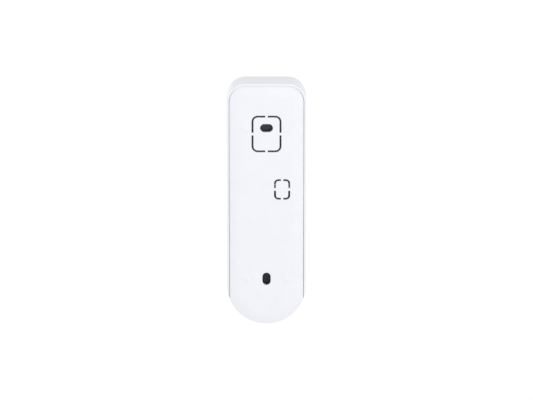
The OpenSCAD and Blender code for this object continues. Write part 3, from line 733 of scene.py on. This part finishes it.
def housing_bosses():
    """Screw bosses and the walls around the button and the speaker, with the bosses' pilot holes."""
    end_d = FRONT_IN_D + 0.2     # what stands on the front wall runs a little into it
    main_d = span("main_board")[1][1]
    ring_d = span("button_board")[1][1]
    # each boss: its place, the depths of its top and its root, and its radius
    cover = [((sx * (HALF_W - 4.5), z), LEDGE_D, LEDGE_D + 7.5, 2.8)
             for sx in (-1, 1) for z in (56, 10, -36)]
    main = [((sx * x, z), main_d, end_d, 2.4)
            for sx in (-1, 1) for x, z in ((11, TOP_Z - 4.3), (13, -24.5))]
    ring = [(at, ring_d, end_d, 1.9) for at in arc(BUTTON_AT, HALF_W - 4.1, 30, 270, 2)]
    bosses = cover + main + ring
    rods = [rod(r, at, d0, d1, 0.1) for at, d0, d1, r in bosses]
    holes = [rod(PILOT_R, at, d0 - 1, d0 + 6) for at, d0, _, _ in bosses]
    walls = [round_wall(RING_OUT_R + 1, BUTTON_AT, ring_d, end_d),
             round_wall(SPEAKER_R + 0.1, SPEAKER_AT, FRONT_IN_D - 2.6, end_d)]
    return rods + walls, holes


def front_edge(steps=12):
    """The profile of the rounded front edge: a quarter of an ellipse."""
    falls, deep = FRONT_ROUND
    turns = [math.pi / 2 * i / steps for i in range(steps + 1)]
    return [(falls * (1 - math.cos(a)), BODY_D - deep * (1 - math.sin(a))) for a in turns]


def front_housing():
    """The body's shell: one closed solid with rounded rim, rounded front and all its openings."""
    reach = 4.5                  # from the rim inwards, to where both faces are flat
    front = front_edge()
    rim = round_corners([(reach, RIM_D, 0), (0, RIM_D, 0.3), (0, front[0][1], 0)])
    shell = loft(body_outline, rim[:-1] + front + [(reach, BODY_D)])
    cut(shell, *housing_cavity())
    solids, holes = housing_bosses()
    join(shell, *solids)
    cut(shell, *front_cutters(), *holes,
        upright_rod(INSERT_R, 0, LOCK_D, FLOOR_Z - 1, FLOOR_Z + INSERT_L))
    dress(shell, "housing_shell", "shell_white", "front_housing")


# ---- Camera window, motion sensor lens and lens parts -----------------------------------------------

LENS_AT = centre("lens_ring")
LENS_R = radius("lens_window")


def camera_window():
    """The dark window with its lens opening, infrared pockets and mounting posts."""
    flange_d = span("lens_ring")[1][0]
    panel = slab(grown(WINDOW_SIZE, WINDOW_AT, 0, 12), BODY_D - WINDOW_T, BODY_D, 0.3)
    flange = slab(grown(WINDOW_SIZE, WINDOW_AT, -WINDOW_LIP - FIT, 12), flange_d, BODY_D - 0.5, 0.1)
    posts_d = span("camera_bezel")[1][0]
    screws = [(LENS_AT[0] - s * 10.2, LENS_AT[1] + s * 9) for s in (-1, 1)]
    led_r = 2.6
    led_x, led_z = radius("ir_leds") - led_r, centre("ir_leds")[1]
    board_d = span("ir_led_board")[1]
    posts = [rod(2.1, at, posts_d, flange_d + 0.2) for at in screws]
    for s in (-1, 1):
        at = (s * 3.5, led_z - 1.4)
        posts += [rod(1.5, at, board_d[1], flange_d + 0.2), rod(0.8, at, board_d[0] - 0.6, flange_d)]
    join(panel, flange, *posts)
    cut(panel, opening(disc_outline(LENS_R + 1.55, LENS_AT, 96), BODY_D, flange_d - 1, 0.2),
        *[rod(led_r + 0.3, (s * led_x, led_z), flange_d - 1, BODY_D - 0.8) for s in (-1, 1)],
        *[rod(PILOT_R, at, posts_d - 1, posts_d + 5) for at in screws])
    dress(panel, "camera_window", "bezel_black", "camera_bezel")


def lens_trim():
    """The metal ring around the lens: a rounded lip that falls away to the glass."""
    (d0, d1), r = span("lens_ring")[1], LENS_R
    path = round_corners([(r - 0.8, d0, 0), (r + 1.5, d0, 0.1), (r + 1.5, d1, 0.35),
                          (r + 0.7, d1, 0.2), (r + 0.02, d1 - 0.7, 0.1), (r + 0.02, d1 - 1.4, 0),
                          (r - 0.8, d1 - 1.4, 0)], closed=True, steps=4)
    dress(lathe(path, LENS_AT), "lens_trim", "ring_metal", "lens_ring")


def lens_cover():
    """The clear cover of the lens, slightly domed."""
    d0, d1 = span("lens_window")[1]
    dome = [(LENS_R * t, d1 - 0.25 * t * t) for t in (0, 0.2, 0.4, 0.6, 0.8)]
    rim = round_corners([(LENS_R * 0.9, d1 - 0.2, 0), (LENS_R, d1 - 0.25, 0.1), (LENS_R, d0, 0.1),
                         (0, d0, 0)])
    dress(lathe(dome + rim, LENS_AT), "lens_cover", "window_glass", "lens_window")


def lens_tube():
    """The lens barrel, its inside turned into fine steps that stop stray light."""
    d0, d1 = span("lens_barrel")[1]
    out_r, bore_r, mouth_r = radius("lens_barrel"), 3.4, 4.6
    steps = []
    for i in range(4):
        r = mouth_r + 0.95 - i * 0.3
        steps += [(r, d1 - i * 0.4), (r, d1 - (i + 1) * 0.4)]
    path = [(bore_r, d0), (out_r - 1.3, d0), (out_r - 1.3, d1 - 2.5), (out_r, d1 - 2.5),
            (out_r, d1 - 0.2), (out_r - 0.2, d1)] + steps + [(bore_r, d1 - 1.6)]
    dress(lathe(path, LENS_AT), "lens_tube", "chip_black", "lens_barrel")


def motion_lens():
    """The motion sensor's milky window: fine grooves part its lens segments."""
    w, h, _ = PIR_SIZE
    d1 = span("pir_lens")[1][1]
    lens = slab(grown(PIR_SIZE, PIR_AT, 0), FRONT_IN_D - 0.2, d1, 0.35)
    join(lens, slab(grown(PIR_SIZE, PIR_AT, 1.2), FRONT_IN_D - 1, FRONT_IN_D, 0.1))
    groove_r, sink = 0.35, 0.14
    columns, rows = 5, 3
    upright = [PIR_AT[0] + w * (i / columns - 0.5) for i in range(1, columns)]
    level = [PIR_AT[1] + h * (i / rows - 0.5) for i in range(1, rows)]
    grooves = [upright_rod(groove_r, x, d1 + groove_r - sink, PIR_AT[1] - h, PIR_AT[1] + h, 24)
               for x in upright]
    cut(lens, *grooves)
    cut(lens, *[block(2 * w, 0.5, (PIR_AT[0], z), d1 - sink / 2, d1 + 1) for z in level])
    dress(lens, "motion_lens", "pir_white", "pir_lens")


# ---- Bell button -------------------------------------------------------------------------------------


def bell_sign(d0, d1):
    """A plain outline of a bell, to be sunk into the button: dome, skirt, rim and clapper."""
    x, z = BUTTON_AT

    def bell(inset):
        top = arc((x, z + 1.2), 2.5 - inset, 0, 180, 20)
        foot = [(x - 3.1 + inset, z - 1.6 + inset), (x + 3.1 - inset, z - 1.6 + inset)]
        return top + [(x - 2.5 + inset, z + 0.2)] + foot + [(x + 2.5 - inset, z + 0.2)]
    outer = loft(bell, [(0, d0), (0, d1)])
    cut(outer, loft(bell, [(0.6, d0 - 1), (0.6, d1 + 1)]))
    rim = slab(box_outline(8.2, 0.7, 0.35, (x, z - 1.9), 6), d0, d1)
    clapper = slab(disc_outline(0.8, (x, z - 3.1), 32), d0, d1)
    return join(outer, rim, clapper)


def bell_button():
    """The round cap: a dished face, a soft edge, a hollow back with a pusher, and six ribs."""
    (d0, d1), r = span("button_cap")[1], RING_IN_R - 0.2
    rim_d0 = FRONT_IN_D - 2.8
    rim_d1 = rim_d0 + 1.25
    flange_r, hollow_r, pusher_r = radius("button_cap"), r - 2, 2.6
    hollow_d = d1 - 2.5
    dish = [(r * i / 10, d1 - 0.5 * (1 - (i / 10) ** 2)) for i in range(9)]
    side = round_corners([(r * 0.85, d1 - 0.14, 0), (r, d1, 0.8), (r, rim_d1, 0.15),
                          (flange_r, rim_d1, 0.15), (flange_r, rim_d0, 0.15),
                          (hollow_r, rim_d0, 0.15), (hollow_r, hollow_d, 0.3),
                          (pusher_r, hollow_d, 0.3), (pusher_r, d0, 0.1), (0, d0, 0)])
    cap = lathe(dish + side[1:], BUTTON_AT)
    ribs = []
    for turn in (0, 60, 120):
        rib = block(2 * r - 2, 1, (0, 0), rim_d0 + 0.3, rim_d0 + 3.5, 0.1)
        rib.rotation_euler = (0, math.radians(turn), 0)
        rib.location = (0, 0, ARC_Z * MM)
        ribs.append(rib)
    join(cap, *ribs)
    sign_d = d1 - 1.1
    cut(cap, bell_sign(sign_d, d1 + 1))
    dress(cap, "bell_push", "button_white", "button_cap")
    # The dark fill in the bottom of the sunk bell is painted shade that darkens its groove.
    dress(bell_sign(sign_d + 0.01, d1 - 0.58), "bell_groove_shade", "cover_grey", "button_cap", False)


def light_guide():
    """The frosted ring around the button, with its rounded outer lip."""
    (d0, d1), skirt_r = span("light_ring")[1], radius("light_ring")
    flange_d = FRONT_IN_D - 1.5
    skirt_in_r = skirt_r - 1.6
    path = round_corners([(RING_IN_R, flange_d, 0.1), (RING_IN_R, d1, 0.3), (RING_OUT_R, d1, 0.3),
                          (RING_OUT_R, FRONT_IN_D, 0), (skirt_r, FRONT_IN_D, 0.15),
                          (skirt_r, d0, 0.1), (skirt_in_r, d0, 0.1),
                          (skirt_in_r, flange_d, 0)], closed=True, steps=4)
    dress(lathe(path, BUTTON_AT), "light_guide_ring", "light_guide", "light_ring")


# ---- Everything that stays as the frame has it ---------------------------------------------------------

EDGES = {"security_screw": 0.2, "rear_cover": 0.25, "processor_shield": 0.3, "radio_shield": 0.3,
         "supercapacitors": 0.5, "power_inductor": 0.3, "filter_housing": 0.3}
NO_EDGE = {"rating_label", "wifi_antenna", "camera_flex", "button_flex", "ir_led_flex",
           "speaker_leads", "antenna_cable", "lens_elements", "ir_leds", "speaker_cone"}


def kept_nodes():
    """Finishes every CAD node that nothing has replaced."""
    for name, node in frame["nodes"].items():
        if not node.hide_render:
            keep(name, 0 if name in NO_EDGE else EDGES.get(name, 0.1))


# ---- Stage, lights and camera, in metres -------------------------------------------------------------

FLOOR_AT = -0.45
FLOOR_SIZE = 12.0                # half its width
FLOOR_GLOW = (0.15, 0.56)        # how strongly the floor glows below the object, and further out
GLOW_FROM_TO = (0.5, 1.6)        # distances from the object between which the glow grows
CAMERA_AWAY = 2.0
CAMERA_TILT = math.radians(11.8)
CAMERA_LENS = 227


def stage():
    """A pale floor well below the hanging object. It glows a little further out, where it melts into
    the white surround."""
    surround = bpy.data.worlds.new("surround")
    surround.use_nodes = True
    surround.node_tree.nodes["Background"].inputs["Color"].default_value = (1, 1, 1, 1)
    surround.node_tree.nodes["Background"].inputs["Strength"].default_value = 1.0
    bpy.context.scene.world = surround
    bpy.context.scene.view_settings.view_transform = "Standard"

    def fill(bm):
        corners = [(-1, -1), (1, -1), (1, 1), (-1, 1)]
        bm.faces.new([bm.verts.new((x * FLOOR_SIZE, y * FLOOR_SIZE, FLOOR_AT)) for x, y in corners])
    floor = make(fill)
    floor.name = "floor"
    paint = Surface("floor_white", (0.5, 0.5, 0.5), 0.9, Specular_IOR_Level=0.0,
                    Emission_Color=(1, 1, 1, 1))
    away = paint.node("ShaderNodeVectorMath")
    away.operation = "LENGTH"
    paint.link(paint.coords, away.inputs[0])
    glow = paint.between(away.outputs["Value"], *FLOOR_GLOW, *GLOW_FROM_TO)
    paint.link(glow, paint.shader.inputs["Emission Strength"])
    floor.data.materials.append(paint.mottle(400, 0.003).material)


def lamp(name, at, watts, size):
    """A soft square light that faces the object and stays out of sight."""
    data = bpy.data.lights.new(name, "AREA")
    data.energy = watts
    data.size = size
    made = bpy.data.objects.new(name, data)
    bpy.context.scene.collection.objects.link(made)
    made.location = at
    made.rotation_euler = Vector(at).to_track_quat("Z", "Y").to_euler()
    made.visible_camera = False


def lights():
    """Two lamps behind the object, where the camera is, and one for its front."""
    lamp("key_behind", (-1.3, 1.5, 0.15), 7, 0.7)
    lamp("fill_behind", (-0.2, 2.4, 0.3), 9, 1.0)
    lamp("key_front", (1.2, -1.6, 0.3), 5, 0.7)


def camera():
    """Behind the object and a little above it."""
    data = bpy.data.cameras.new("camera")
    data.sensor_width = 36
    data.lens = CAMERA_LENS
    target = Vector((0, -BODY_D / 2 * MM, 0))
    made = bpy.data.objects.new("camera", data)
    bpy.context.scene.collection.objects.link(made)
    back = Vector((0, math.cos(CAMERA_TILT), math.sin(CAMERA_TILT)))
    made.location = target + back * CAMERA_AWAY
    made.rotation_euler = back.to_track_quat("Z", "Y").to_euler()
    bpy.context.scene.camera = made


mounting_plate()
front_housing()
camera_window()
lens_trim()
lens_cover()
lens_tube()
motion_lens()
bell_button()
light_guide()
kept_nodes()
stage()
lights()
camera()
